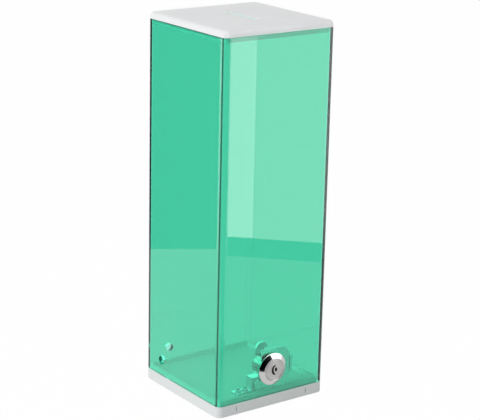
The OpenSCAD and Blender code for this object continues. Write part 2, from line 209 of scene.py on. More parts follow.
def sheetMesh(name, outlines, thickness, bevel, place):
    # flat part cut from plate, holes and all, with its edges rounded; all in mm
    curve = bpy.data.curves.new(name, "CURVE")
    curve.dimensions = "2D"
    curve.fill_mode = "BOTH"
    for outline in outlines:
        line = curve.splines.new("POLY")
        line.points.add(len(outline) - 1)
        for point, (x, y) in zip(line.points, outline):
            point.co = (x, y, 0, 1)
        line.use_cyclic_u = True
    curve.extrude = thickness / 2 - bevel
    curve.bevel_depth = bevel
    curve.offset = -bevel
    curve.bevel_resolution = 2
    drawing = linkMesh(name, curve)
    view = bpy.context.evaluated_depsgraph_get()
    mesh = bpy.data.meshes.new_from_object(drawing.evaluated_get(view), depsgraph=view)
    bpy.data.objects.remove(drawing)
    shape = bmesh.new()
    shape.from_mesh(mesh)
    bmesh.ops.remove_doubles(shape, verts=shape.verts, dist=meshing["drawingWeld"])
    bmesh.ops.transform(shape, matrix=place, verts=shape.verts)
    bmesh.ops.recalc_face_normals(shape, faces=shape.faces)
    shape.to_mesh(mesh)
    shape.free()
    return mesh


def standUp(depth):
    # turns a flat drawing in mm to face the lock's way, its middle at a depth in mm
    turn = Matrix.Rotation(math.radians(90), 4, "X")
    return Matrix.Translation(Vector(onLock(0, depth * mm, 0))) @ turn @ Matrix.Scale(mm, 4)


def cutWith(piece, cutters):
    # takes closed meshes out of a piece
    tools = []
    for number, mesh in enumerate(cutters):
        tool = linkMesh(f"{piece.name}.cut{number}", mesh)
        tool.hide_render = True
        tools.append(tool)
        cut = piece.modifiers.new(tool.name, "BOOLEAN")
        cut.operation = "DIFFERENCE"
        cut.solver = "EXACT"
        cut.object = tool
    bakeModifiers(piece)
    for tool in tools:
        mesh = tool.data
        bpy.data.objects.remove(tool)
        bpy.data.meshes.remove(mesh)
    return piece


def joinInto(piece, others):
    shape = bmesh.new()
    shape.from_mesh(piece.data)
    for other in others:
        shape.from_mesh(other.data)
        bpy.data.objects.remove(other)
    shape.to_mesh(piece.data)
    shape.free()
    return piece


def finishPiece(piece, body, material, standsFor=()):
    piece.data.materials.clear()
    piece.data.materials.append(material)
    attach(piece, body)
    if standsFor:
        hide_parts(*standsFor)
    return piece


# shader groups

def newGroup(name, inputs, outputs):
    tree = bpy.data.node_groups.new(name, "ShaderNodeTree")
    for label, value in inputs.items():
        socket = tree.interface.new_socket(label, in_out="INPUT", socket_type="NodeSocketFloat")
        socket.default_value = value
    for label, kind in outputs.items():
        tree.interface.new_socket(label, in_out="OUTPUT", socket_type=kind)
    return tree, tree.nodes.new("NodeGroupInput"), tree.nodes.new("NodeGroupOutput")


def addNode(tree, kind, values=None, **settings):
    node = tree.nodes.new(kind)
    for key, value in settings.items():
        setattr(node, key, value)
    for key, value in (values or {}).items():
        node.inputs[key].default_value = value
    return node


def chainNodes(tree, *steps):
    # each step is (node, output, next node, input)
    for source, output, target, port in steps:
        tree.links.new(source.outputs[output], target.inputs[port])


def buildGrain():
    # fine moulded or handled surface: a value round 0.5 and the normal it gives
    tree, given, gives = newGroup(
        "surfaceGrain", {"Scale": 900.0, "Depth": 0.1, "Patch Scale": 25.0},
        {"Grain": "NodeSocketFloat", "Patches": "NodeSocketFloat", "Normal": "NodeSocketVector"})
    place = addNode(tree, "ShaderNodeTexCoord")
    fine = addNode(tree, "ShaderNodeTexNoise", {"Detail": 3.0, "Roughness": 0.6})
    broad = addNode(tree, "ShaderNodeTexNoise", {"Detail": 2.0, "Roughness": 0.5})
    bump = addNode(tree, "ShaderNodeBump", {"Distance": 0.0002})
    chainNodes(tree, (place, "Object", fine, "Vector"), (place, "Object", broad, "Vector"),
               (given, "Scale", fine, "Scale"), (given, "Patch Scale", broad, "Scale"),
               (given, "Depth", bump, "Strength"), (fine, "Fac", bump, "Height"),
               (fine, "Fac", gives, "Grain"), (broad, "Fac", gives, "Patches"),
               (bump, "Normal", gives, "Normal"))
    return tree


def buildBrush():
    # long fine scratches along X, as on rolled or brushed metal
    tree, given, gives = newGroup(
        "brushedLines", {"Scale": 400.0, "Stretch": 0.05, "Depth": 0.1},
        {"Lines": "NodeSocketFloat", "Normal": "NodeSocketVector"})
    place = addNode(tree, "ShaderNodeTexCoord")
    squeeze = addNode(tree, "ShaderNodeCombineXYZ", {"Y": 1.0, "Z": 1.0})
    scaled = addNode(tree, "ShaderNodeVectorMath", operation="MULTIPLY")
    lines = addNode(tree, "ShaderNodeTexNoise", {"Detail": 4.0, "Roughness": 0.7})
    bump = addNode(tree, "ShaderNodeBump", {"Distance": 0.0001})
    chainNodes(tree, (given, "Stretch", squeeze, "X"), (place, "Object", scaled, 0),
               (squeeze, "Vector", scaled, 1), (scaled, "Vector", lines, "Vector"),
               (given, "Scale", lines, "Scale"), (given, "Depth", bump, "Strength"),
               (lines, "Fac", bump, "Height"), (lines, "Fac", gives, "Lines"),
               (bump, "Normal", gives, "Normal"))
    return tree


grainGroup = buildGrain()
brushGroup = buildBrush()

# materials


def newMaterial(name, **plain):
    material = bpy.data.materials.new(name)
    material.use_nodes = True
    tree = material.node_tree
    shader = tree.nodes["Principled BSDF"]
    for key, value in plain.items():
        shader.inputs[key].default_value = value
    return material, tree, shader


def spread(tree, source, low, high):
    # maps the middle of a noise to a range of values
    ramp = addNode(tree, "ShaderNodeMapRange",
                   {"From Min": 0.3, "From Max": 0.7, "To Min": low, "To Max": high})
    tree.links.new(source, ramp.inputs["Value"])
    return ramp.outputs["Result"]


def blendColours(tree, source, first, second):
    mix = addNode(tree, "ShaderNodeMix", data_type="RGBA")
    mix.inputs["A"].default_value = (*first, 1)
    mix.inputs["B"].default_value = (*second, 1)
    tree.links.new(source, mix.inputs["Factor"])
    return mix.outputs["Result"]


def grainOf(tree, scale, depth, patchScale):
    return addNode(tree, "ShaderNodeGroup", node_tree=grainGroup, values={
        "Scale": scale, "Depth": depth, "Patch Scale": patchScale})


def brushOf(tree, scale, stretch, depth):
    return addNode(tree, "ShaderNodeGroup", node_tree=brushGroup, values={
        "Scale": scale, "Stretch": stretch, "Depth": depth})


def dressShader(tree, shader, group, tone, colours, wear, roughness):
    # colour and roughness follow a group's values named tone and wear
    colour = blendColours(tree, group.outputs[tone], *colours)
    tree.links.new(colour, shader.inputs["Base Color"])
    tree.links.new(spread(tree, group.outputs[wear], *roughness), shader.inputs["Roughness"])
    tree.links.new(group.outputs["Normal"], shader.inputs["Normal"])


# part of the tint is taken at the surface, so long ways inside the wall stay green
tint = {"density": 110.0, "deep": (0.09, 0.864, 0.773), "surface": (0.36, 0.835, 0.675),
        "shadow": (0.6, 0.914, 0.822), "haze": 0.012, "bendHaze": 0.25,
        "bendFrom": 6.5 * mm, "bendTo": 4.5 * mm}      # measured in from the outside


def tintedAcrylic():
    material, tree, shader = newMaterial("tinted acrylic", **{
        "Base Color": (*tint["surface"], 1), "Transmission Weight": 1.0, "IOR": 1.49})
    grain = grainOf(tree, scale=350, depth=0.02, patchScale=14)
    # the bends of the tube are less clear than its flats
    place = addNode(tree, "ShaderNodeTexCoord")
    parts = addNode(tree, "ShaderNodeSeparateXYZ")
    sideX, sideY = (addNode(tree, "ShaderNodeMath", operation="ABSOLUTE") for _ in range(2))
    nearer = addNode(tree, "ShaderNodeMath", operation="MINIMUM")
    bend = addNode(tree, "ShaderNodeMapRange", {
        "From Min": halfWidth - tint["bendFrom"], "From Max": halfWidth - tint["bendTo"],
        "To Min": 0.0, "To Max": tint["bendHaze"]}, interpolation_type="SMOOTHSTEP")
    sumUp = addNode(tree, "ShaderNodeMath", operation="ADD")
    chainNodes(tree, (place, "Object", parts, "Vector"), (parts, "X", sideX, 0),
               (parts, "Y", sideY, 0), (sideX, "Value", nearer, 0), (sideY, "Value", nearer, 1),
               (nearer, "Value", bend, "Value"), (bend, "Result", sumUp, 0))
    tree.links.new(spread(tree, grain.outputs["Patches"], 0.0, tint["haze"]), sumUp.inputs[1])
    tree.links.new(sumUp.outputs["Value"], shader.inputs["Roughness"])
    clear = addNode(tree, "ShaderNodeBsdfTransparent", {"Color": (*tint["shadow"], 1)})
    path = addNode(tree, "ShaderNodeLightPath")
    mix = addNode(tree, "ShaderNodeMixShader")
    inside = addNode(tree, "ShaderNodeVolumeAbsorption",
                     {"Color": (*tint["deep"], 1), "Density": tint["density"]})
    chainNodes(tree, (path, "Is Shadow Ray", mix, "Fac"), (shader, "BSDF", mix, 1),
               (clear, "BSDF", mix, 2), (mix, "Shader", tree.nodes["Material Output"], "Surface"),
               (inside, "Volume", tree.nodes["Material Output"], "Volume"))
    return material


def whiteMoulding():
    material, tree, shader = newMaterial(
        "white moulding", **{"IOR": 1.45, "Specular IOR Level": 0.1})
    grain = grainOf(tree, scale=1500, depth=0.32, patchScale=40)
    dressShader(tree, shader, grain, "Patches", ((0.80, 0.81, 0.82), (0.84, 0.845, 0.85)),
                "Grain", (0.55, 0.72))
    return material


def chromePlate():
    material, tree, shader = newMaterial("lock chrome", **{"Metallic": 1.0})
    grain = grainOf(tree, scale=700, depth=0.04, patchScale=120)
    dressShader(tree, shader, grain, "Patches", ((0.50, 0.495, 0.49), (0.58, 0.575, 0.57)),
                "Patches", (0.05, 0.16))
    return material


def brushedMetal(name, dark, light, roughness, scale=500, stretch=0.06, depth=0.15):
    material, tree, shader = newMaterial(name, **{"Metallic": 1.0})
    brush = brushOf(tree, scale, stretch, depth)
    dressShader(tree, shader, brush, "Lines", (dark, light), "Lines", roughness)
    return material


plugFace = {"ringPitch": 0.85 * mm, "ringDepth": 0.5,
            "dark": (0.36, 0.355, 0.35), "light": (0.5, 0.495, 0.485)}


def turnedFace():
    # rings left by the lathe, round the lock's axis
    material, tree, shader = newMaterial("plug face", **{"Metallic": 1.0})
    place = addNode(tree, "ShaderNodeTexCoord")
    centre = addNode(tree, "ShaderNodeMapping", {"Location": (0, 0, -lockHeight)})
    # a wave texture's rings lie 2 pi / 20 apart at a scale of 1
    rings = addNode(tree, "ShaderNodeTexWave",
                    {"Scale": 2 * math.pi / (20 * plugFace["ringPitch"]), "Distortion": 0.4,
                     "Detail": 2.0, "Detail Scale": 3.0},
                    wave_type="RINGS", rings_direction="Y")
    bump = addNode(tree, "ShaderNodeBump", {"Strength": plugFace["ringDepth"], "Distance": 0.0001})
    grain = grainOf(tree, scale=1800, depth=0.1, patchScale=500)
    chainNodes(tree, (place, "Object", centre, "Vector"), (centre, "Vector", rings, "Vector"),
               (rings, "Fac", bump, "Height"), (grain, "Normal", bump, "Normal"),
               (bump, "Normal", shader, "Normal"))
    tree.links.new(blendColours(tree, rings.outputs["Fac"], plugFace["dark"], plugFace["light"]),
                   shader.inputs["Base Color"])
    tree.links.new(spread(tree, grain.outputs["Grain"], 0.3, 0.45), shader.inputs["Roughness"])
    return material


def footRubber():
    material, tree, shader = newMaterial("foot rubber")
    grain = grainOf(tree, scale=1200, depth=0.3, patchScale=200)
    dressShader(tree, shader, grain, "Patches", ((0.018, 0.018, 0.02), (0.035, 0.035, 0.038)),
                "Grain", (0.7, 0.9))
    return material


acrylic = tintedAcrylic()
moulding = whiteMoulding()
chrome = chromePlate()
clipSteel = brushedMetal("clip steel", (0.68, 0.68, 0.69), (0.82, 0.82, 0.83), (0.12, 0.22),
                         scale=900, stretch=0.1, depth=0.06)
plugMetal = turnedFace()
zincPlate = brushedMetal("zinc plate", (0.62, 0.63, 0.65), (0.82, 0.83, 0.85), (0.24, 0.4))
fastenerSteel = brushedMetal("fastener steel", (0.4, 0.41, 0.43), (0.58, 0.59, 0.61), (0.25, 0.4),
                             scale=900, stretch=0.3)
springSteel = brushedMetal("spring steel", (0.32, 0.33, 0.35), (0.48, 0.49, 0.5), (0.25, 0.4),
                           scale=2500, stretch=0.5)
waferBrass = brushedMetal("wafer brass", (0.6, 0.44, 0.18), (0.78, 0.62, 0.3), (0.2, 0.36),
                          scale=1500, stretch=0.1)
rubber = footRubber()
print("materials made")

# tube

tubeForm = {"edge": 0.25 * mm, "footEdge": 0.5 * mm, "seatGap": 0.04 * mm,
            "chainHoleRadius": 3.4 * mm, "chainHoleInset": 22.5 * mm, "chainHoleRise": 13 * mm,
            "barrelRadius": 9.65, "barrelFlat": 8.15, "barrelCut": (-3, 6), "holeSteps": 48}


def roundCutter(name, centre, axis, radius):
    reach = 2 * tower["wall"]
    loops = []
    for side in (-1, 1):
        ring = []
        for i in range(tubeForm["holeSteps"]):
            t = 2 * math.pi * i / tubeForm["holeSteps"]
            across = (radius * math.cos(t), radius * math.sin(t))
            if axis == "x":
                offset = (side * reach, *across)
            else:
                offset = (across[0], side * reach, across[1])
            ring.append(tuple(Vector(centre) + Vector(offset)))
        loops.append(ring)
    return loftMesh(name, loops, capFirst=True, capLast=True)


def makeTube():
    e, b, wall = tubeForm["edge"], tubeForm["footEdge"], tower["wall"]
    low, high = tubeLow.z + tubeForm["seatGap"], tubeHigh.z - tubeForm["seatGap"]
    section = [(0, low + b), (0, high - e), (e, high), (wall - e, high),
               (wall, high - e), (wall, low + b), (wall - b, low), (b, low)]
    loops = []
    for inset, z in section:
        half, radius = halfWidth - inset, tower["cornerRadius"] - inset
        if inset > wall / 2:                     # the bore has its own corner radius
            radius = tower["innerRadius"] + wall - inset
        loops.append(roundLoop(half, half, radius, z))
    tube = linkMesh("towerTube", loftMesh("towerTube", loops, closed=True))
    across = halfWidth - tubeForm["chainHoleInset"]
    height = low + tubeForm["chainHoleRise"]
    radius = tubeForm["chainHoleRadius"]
    barrel = doubleFlat(tubeForm["barrelRadius"], tubeForm["barrelFlat"])
    cutWith(tube, [
        roundCutter("chainLeft", (-halfWidth, across, height), "x", radius),
        roundCutter("chainBack", (-across, halfWidth, height), "y", radius),
        prismMesh("barrelHole", barrel, runOnLock(*tubeForm["barrelCut"]))])
    smoothFaces(tube, sharpAbove=25)
    return finishPiece(tube, "case", acrylic, ["tube"])


makeTube()
print("tube made")

# cap

capForm = {"edgeRadius": 3.6 * mm, "edgeSteps": 10, "plate": 3 * mm, "footEdge": 0.15 * mm,
           "ribGap": 0.1 * mm, "rib": 2 * mm, "ribLead": 0.3 * mm,
           "slotLength": 42 * mm, "slotWidth": 5.2 * mm, "slotCorner": 1 * mm,
           "slotEdge": 0.35 * mm, "slotFoot": 0.1 * mm}


def makeCap():
    f = capForm
    seat, top, ribEnd = tubeHigh.z, capHigh.z, capLow.z
    ribOut = tower["wall"] + f["ribGap"]
    ribIn = ribOut + f["rib"]
    under = top - f["plate"]
    loops = [insetLoop(ribIn, under), insetLoop(ribIn, ribEnd),
             insetLoop(ribOut + f["ribLead"], ribEnd), insetLoop(ribOut, ribEnd + f["ribLead"]),
             insetLoop(ribOut, seat), insetLoop(f["footEdge"], seat),
             insetLoop(0, seat + f["footEdge"])]
    for i in range(f["edgeSteps"] + 1):
        a = math.radians(90 * i / f["edgeSteps"])
        r = f["edgeRadius"]
        loops.append(insetLoop(r - r * math.cos(a), top - r + r * math.sin(a)))

    def slotLoop(out, z):
        return roundLoop(f["slotWidth"] / 2 + out, f["slotLength"] / 2 + out,
                         f["slotCorner"] + out, z)
    e = f["slotEdge"]
    loops += [slotLoop(e, top), slotLoop(arcMiddle * e, top - arcMiddle * e), slotLoop(0, top - e),
              slotLoop(0, under + f["slotFoot"]), slotLoop(f["slotFoot"], under)]
    cap = linkMesh("capMoulding", loftMesh("capMoulding", loops, closed=True))
    smoothFaces(cap, sharpAbove=40)
    return finishPiece(cap, "case", moulding, ["top_cap"])


makeCap()
print("cap made")

# base

baseForm = {"floor": 3 * mm, "wall": 2.6 * mm, "footEdge": 0.5 * mm, "topEdge": 0.2 * mm,
            "ribGap": 0.3 * mm, "rib": 2 * mm, "ribEdge": 0.4 * mm, "underRib": 1.8 * mm, "bays": 5,
            "slotOffset": 33.6 * mm, "slotWidth": 1.1 * mm, "slotHeight": 3.6 * mm,
            "slotDepth": 1.2 * mm}


def makeBase():
    f = baseForm
    bottom, seat, ribTop = baseLow.z, tubeLow.z, baseHigh.z
    ribOut = tower["wall"] + f["ribGap"]
    ribIn = ribOut + f["rib"]
    under = seat - f["floor"]
    foot, e, r = f["footEdge"], f["topEdge"], f["ribEdge"]
    loops = [insetLoop(f["wall"], under), insetLoop(f["wall"], bottom), insetLoop(foot, bottom),
             insetLoop(foot * arcMiddle, bottom + foot * arcMiddle), insetLoop(0, bottom + foot),
             insetLoop(0, seat - e), insetLoop(e, seat), insetLoop(ribOut, seat),
             insetLoop(ribOut, ribTop - r), insetLoop(ribOut + r, ribTop),
             insetLoop(ribIn - r, ribTop), insetLoop(ribIn, ribTop - r),
             insetLoop(ribIn, seat + r), insetLoop(ribIn + r, seat)]
    base = linkMesh("baseMoulding", loftMesh("baseMoulding", loops, capFirst=True, capLast=True))
    middle = (bottom + seat) / 2
    cutters = []
    for side in (-1, 1):
        x = side * f["slotOffset"]
        low = (x - f["slotWidth"] / 2, wallFace - meshing["cutPast"],
               middle - f["slotHeight"] / 2)
        high = (x + f["slotWidth"] / 2, wallFace + f["slotDepth"],
                middle + f["slotHeight"] / 2)
        cutters.append(boxMesh("releaseSlot", low, high))
    cutWith(base, cutters)
    smoothFaces(base, sharpAbove=40)
    return finishPiece(base, "base", moulding, ["base"])


# sink is how far ribs and bosses run up into the floor; lift keeps crossing ribs' faces apart
underForm = {"screwAt": (-21.5 * mm, -15.0 * mm), "screwRow": -34.5 * mm, "bossRadius": 3.4 * mm,
             "bossEdge": 0.2 * mm, "holeRadius": 1.55 * mm, "holeDepth": 4.4 * mm, "steps": 40,
             "sink": 0.1 * mm, "lift": 0.02 * mm}


def addPort(tree, ports, label, kind, value=None):
    # a named input of a tree of geometry nodes; ports keeps the identifiers
    socket = tree.interface.new_socket(label, in_out="INPUT", socket_type=kind)
    if value is not None:
        socket.default_value = value
    ports[label] = socket.identifier


def growPiece(name, tree, ports, values):
    # runs the tree on an empty mesh and keeps what it made
    piece = linkMesh(name, bpy.data.meshes.new(name))
    grown = piece.modifiers.new(name, "NODES")
    grown.node_group = tree
    for label, value in values.items():
        grown[ports[label]] = value
    return bakeModifiers(piece)


def buildRibGrid():
    # evenly spaced ribs, run once each way
    tree = bpy.data.node_groups.new("ribGrid", "GeometryNodeTree")
    ports = {}
    addPort(tree, ports, "Count", "NodeSocketInt", 4)
    for label in ("Pitch", "First", "Low", "High"):
        addPort(tree, ports, label, "NodeSocketFloat", 0.01)
    addPort(tree, ports, "Rib", "NodeSocketVector")
    addPort(tree, ports, "Material", "NodeSocketMaterial")
    tree.interface.new_socket("Geometry", in_out="OUTPUT", socket_type="NodeSocketGeometry")
    given, gives = tree.nodes.new("NodeGroupInput"), tree.nodes.new("NodeGroupOutput")
    level = addNode(tree, "ShaderNodeMath", {1: 0.5}, operation="MULTIPLY")
    sumUp = addNode(tree, "ShaderNodeMath", operation="ADD")
    start = addNode(tree, "ShaderNodeCombineXYZ")
    step = addNode(tree, "ShaderNodeCombineXYZ")
    row = addNode(tree, "GeometryNodeMeshLine", mode="OFFSET")
    rib = addNode(tree, "GeometryNodeMeshCube")
    along = addNode(tree, "GeometryNodeInstanceOnPoints")
    across = addNode(tree, "GeometryNodeTransform", {
        "Translation": (0, 0, underForm["lift"]), "Rotation": (0, 0, math.pi / 2)})
    both = addNode(tree, "GeometryNodeJoinGeometry")
    real = addNode(tree, "GeometryNodeRealizeInstances")
    paint = addNode(tree, "GeometryNodeSetMaterial")
    chainNodes(tree, (given, "Low", sumUp, 0), (given, "High", sumUp, 1), (sumUp, 0, level, 0),
               (given, "First", start, "X"), (level, 0, start, "Z"), (given, "Pitch", step, "X"),
               (given, "Count", row, "Count"), (start, 0, row, "Start Location"),
               (step, 0, row, "Offset"), (given, "Rib", rib, "Size"),
               (row, "Mesh", along, "Points"), (rib, "Mesh", along, "Instance"),
               (along, 0, across, "Geometry"), (along, 0, both, 0), (across, 0, both, 0),
               (both, 0, real, 0), (real, 0, paint, "Geometry"),
               (given, "Material", paint, "Material"), (paint, 0, gives, 0))
    return tree, ports


def buildCornerSet():
    # one sample put at the four corners of a square
    tree = bpy.data.node_groups.new("cornerSet", "GeometryNodeTree")
    ports = {}
    addPort(tree, ports, "Sample", "NodeSocketObject")
    addPort(tree, ports, "Spacing", "NodeSocketFloat", 0.08)
    addPort(tree, ports, "Material", "NodeSocketMaterial")
    tree.interface.new_socket("Geometry", in_out="OUTPUT", socket_type="NodeSocketGeometry")
    given, gives = tree.nodes.new("NodeGroupInput"), tree.nodes.new("NodeGroupOutput")
    grid = addNode(tree, "GeometryNodeMeshGrid", {"Vertices X": 2, "Vertices Y": 2})
    source = addNode(tree, "GeometryNodeObjectInfo", {"As Instance": True})
    place = addNode(tree, "GeometryNodeInstanceOnPoints")
    real = addNode(tree, "GeometryNodeRealizeInstances")
    paint = addNode(tree, "GeometryNodeSetMaterial")
    chainNodes(tree, (given, "Spacing", grid, "Size X"), (given, "Spacing", grid, "Size Y"),
               (given, "Sample", source, "Object"), (grid, "Mesh", place, "Points"),
               (source, "Geometry", place, "Instance"), (place, 0, real, 0),
               (real, 0, paint, "Geometry"), (given, "Material", paint, "Material"),
               (paint, 0, gives, 0))
    return tree, ports


ribGrid, ribPorts = buildRibGrid()
cornerSet, cornerPorts = buildCornerSet()
feetLow, feetHigh = edgesOf("rubber_feet")
footForm = {"radius": 5.5 * mm, "thick": 2.4 * mm, "edge": 0.5 * mm, "dish": 0.15 * mm,
            "pocketGap": 0.1 * mm, "steps": 48}
footSpacing = feetHigh.x - feetLow.x - 2 * footForm["radius"]


def turnedLoop(x, y, z, radius, steps):
    return [(x + radius * math.cos(a), y + radius * math.sin(a), z)
            for a in (2 * math.pi * i / steps for i in range(steps))]


def bossMesh(x, y):
    # round boss with a screw hole up its middle
    f, bottom = underForm, baseLow.z
    under = tubeLow.z - baseForm["floor"]
    rings = [turnedLoop(x, y, z, r, f["steps"]) for r, z in (
        (f["bossRadius"], under + f["sink"]), (f["bossRadius"], bottom + f["bossEdge"]),
        (f["bossRadius"] - f["bossEdge"], bottom), (f["holeRadius"], bottom),
        (f["holeRadius"], bottom + f["holeDepth"]))]
    return loftMesh("screwBoss", rings, capFirst=True, capLast=True)


def makeUnderside():
    # ribs under the floor, a block at each corner for a foot, and the keeper's screw bosses
    f = baseForm
    inner = halfWidth - f["wall"]
    pitch = (2 * inner + f["underRib"]) / f["bays"]
    bottom, lift = baseLow.z, underForm["lift"]
    top = tubeLow.z - f["floor"] + underForm["sink"]
    ribs = growPiece("baseRibs", ribGrid, ribPorts, {
        "Count": f["bays"] - 1, "Pitch": pitch, "First": -inner + pitch - f["underRib"] / 2,
        "Low": bottom + lift, "High": top,
        "Rib": (f["underRib"], 2 * inner, top - bottom - lift), "Material": moulding})
    half = (pitch - f["underRib"]) / 2 + underForm["sink"]
    block = linkMesh("cornerBlock", boxMesh(
        "cornerBlock", (-half, -half, bottom + 2 * lift), (half, half, top)))
    pocket = footForm["radius"] + footForm["pocketGap"]
    rings = [turnedLoop(0, 0, z, pocket, footForm["steps"])
             for z in (bottom - meshing["cutPast"], footForm["thick"])]
    cutWith(block, [loftMesh("pocket", rings, capFirst=True, capLast=True)])
    blocks = growPiece("cornerBlocks", cornerSet, cornerPorts, {
        "Sample": block, "Spacing": footSpacing, "Material": moulding})
    bpy.data.objects.remove(block)
    bosses = [linkMesh("screwBoss", bossMesh(x, underForm["screwRow"]))
              for x in underForm["screwAt"]]
    joinInto(ribs, [blocks] + bosses)
    smoothFaces(ribs, sharpAbove=35)
    return finishPiece(ribs, "base", moulding)


makeBase()
makeUnderside()
print("base made")

# lock

# the lock's forms are in mm; depths run inwards from the wall's outside
lockForm = {"boreRadius": 7.0, "recessRadius": 8.8, "plateDepth": -3.0, "recessFloor": -1.55,
            "lip": 0.7, "rim": 0.7, "edge": 0.15, "recessEdge": 0.2, "barrelRadius": 9.5,
            "barrelFlat": 8.0, "barrelEnd": 14.2, "barrelEdge": 0.3,
            "clipFrom": 3.2, "clipThick": 1.0, "clipGroove": 0.9, "play": 0.05,
            "flatFrom": 0.02, "cutPast": 1, "cutHalf": 12, "cutRise": 14,
            "ledge": 0.8, "ledgeInner": 7.35, "ledgeOuter": 9.4, "ledgeHalf": 75, "ledgeSteps": 40}


def makeHousing():
    f = lockForm
    r = flangeRadius / mm
    recess, barrel, end = f["recessRadius"], f["barrelRadius"], f["barrelEnd"]
    front, lipOut = f["plateDepth"], recess + f["lip"]
    edge, play, barrelEdge = f["edge"], f["play"], f["barrelEdge"]
    profile = [(f["boreRadius"], f["recessFloor"]), (recess, f["recessFloor"]),
               (recess, front + f["recessEdge"]), (recess + edge, front), (lipOut - edge, front)]
    # the lip's rounded shoulder, the bevel and the rim, one point for each small edge
    profile += [(lipOut + 0.12, front + 0.1), (r - 0.35, -f["rim"] - 0.22),
                (r - 0.1, -f["rim"] + 0.02), (r, -f["rim"] + 0.3), (r, -edge), (r - 0.1, -play)]
    profile += [(barrel, -play), (barrel, end - barrelEdge), (barrel - barrelEdge, end),
                (f["boreRadius"], end)]
    housing = linkMesh("lockHousing", latheMesh("lockHousing", profile))
    cutters = []
    for side in (-1, 1):
        flat, groove = f["barrelFlat"] * side, (f["barrelFlat"] - f["clipGroove"]) * side
        clipTo = f["clipFrom"] + f["clipThick"]
        for inner, start, stop in ((flat, f["flatFrom"], end + f["cutPast"]),
                                   (groove, f["clipFrom"] - play, clipTo + play)):
            up = sorted((inner, f["cutRise"] * side))
            cutters.append(boxMesh(
                "flat", onLock(-f["cutHalf"] * mm, start * mm, up[0] * mm),
                onLock(f["cutHalf"] * mm, stop * mm, up[1] * mm)))
    cutWith(housing, cutters)
    half, steps = f["ledgeHalf"], f["ledgeSteps"]
    sector = (arcPoints(0, 0, f["ledgeOuter"], 180 - half, 180 + half, steps)
              + arcPoints(0, 0, f["ledgeInner"], 180 + half, 180 - half, steps))
    ledge = linkMesh("stopLedge", prismMesh("stopLedge", sector, runOnLock(
        end - play, end + f["ledge"])))
    joinInto(housing, [ledge])
    smoothFaces(housing, sharpAbove=28)
    return finishPiece(housing, "case", chrome, ["lock_housing"])


plugForm = {"radius": 6.95, "faceRadius": 8.75, "faceThick": 1.4, "end": 14.3,
            "scribedRing": (4.6, 4.75, 4.9), "scribeDepth": 0.05,
            "groovedRing": (7.9, 8.0, 8.2, 8.3), "grooveDepth": 0.12,
            "tangRadius": 4.2, "tangFlat": 3.2, "tangEnd": 17.2, "tangSteps": 8,
            "keyDepth": 13.0}


# a tall groove curved like a bracket and a short one beside it, two arcs each: centre, radius,
# angles and steps
keywayArcs = {"tall": ((1.6, 0, 4.45, 106, 254, 16), (3.2, 0, 4.05, 238, 122, 14)),
              "short": ((1.3, -0.5, 1.1, 180, 360, 8), (1.3, 0.8, 1.1, 0, 180, 8))}


def makePlug():
    f = plugForm
    face, front, edge = f["faceRadius"], lockForm["plateDepth"], lockForm["edge"]
    back = front + f["faceThick"]
    scribe, groove = f["scribeDepth"], f["grooveDepth"]
    profile = [(0, front)]
    profile += [(r, front + deep) for r, deep in zip(f["scribedRing"], (0, scribe, 0))]
    profile += [(r, front + deep) for r, deep in zip(f["groovedRing"], (0, groove, groove, 0))]
    profile += [(face - edge, front), (face, front + edge), (face, back), (f["radius"], back),
                (f["radius"], f["end"]), (0, f["end"])]
    plug = linkMesh("lockPlug", latheMesh("lockPlug", profile, closed=False))
    keyRun = runOnLock(front - lockForm["cutPast"], f["keyDepth"])
    outlines = [arcPoints(*first) + arcPoints(*second) for first, second in keywayArcs.values()]
    cutWith(plug, [prismMesh("keyway", outline, keyRun) for outline in outlines])
    tang = doubleFlat(f["tangRadius"], f["tangFlat"], f["tangSteps"])
    stub = linkMesh("tang", prismMesh("tang", tang, runOnLock(
        f["end"] - lockForm["play"], f["tangEnd"])))
    joinInto(plug, [stub])
    smoothFaces(plug, sharpAbove=28)
    return finishPiece(plug, "lock_core", plugMetal, ["lock_plug"])


makeHousing()
makePlug()
print("lock made")

# cam, keeper and clip

camForm = {"halfWidth": 6, "root": 7.6, "reach": 17.5, "notchFrom": 7.3, "notchTo": 13,
           "notchDepth": 3.5, "hookEdge": 0.1, "tipSteps": 18, "rootSteps": 30, "holeGap": 0.05,
           "depth": 15.3, "thick": 2.0, "bevel": 0.22}


def makeCam():
    f = camForm
    h, root = f["halfWidth"], f["root"]
    inner = h - f["notchDepth"]
    tipCentre = f["reach"] - h
    rise = math.sqrt(root * root - h * h)
    side = math.degrees(math.atan2(rise, h))
    notchAngle = math.degrees(math.asin(min(f["notchFrom"] / root, 1)))
    hookX = math.sqrt(max(h * h - (f["notchTo"] - tipCentre) ** 2, 0))
    hookAngle = math.degrees(math.atan2(f["notchTo"] - tipCentre, hookX))
    outline = [(inner, f["notchTo"]), (hookX - f["hookEdge"], f["notchTo"])]
    outline += arcPoints(0, tipCentre, h, hookAngle, 180, f["tipSteps"])
    outline += [(-h, rise)]
    outline += arcPoints(0, 0, root, 180 - side, 360 + min(notchAngle, side), f["rootSteps"])[1:]
    if f["notchFrom"] > rise:
        outline += [(h, rise), (h, f["notchFrom"])]
    outline += [(inner, f["notchFrom"])]
    hole = doubleFlat(plugForm["tangRadius"] + f["holeGap"], plugForm["tangFlat"] + f["holeGap"],
                      plugForm["tangSteps"])
    mesh = sheetMesh("lockCam", [outline, hole], f["thick"], f["bevel"],
                     standUp(f["depth"] + f["thick"] / 2))
    cam = linkMesh("lockCam", mesh)
    smoothFaces(cam, sharpAbove=35)
    return finishPiece(cam, "lock_core", zincPlate, ["lock_cam"])


keeperForm = {"foot": 2.0, "thick": 3.0, "postOut": -11.0, "postIn": -8.0, "bevel": 0.3}


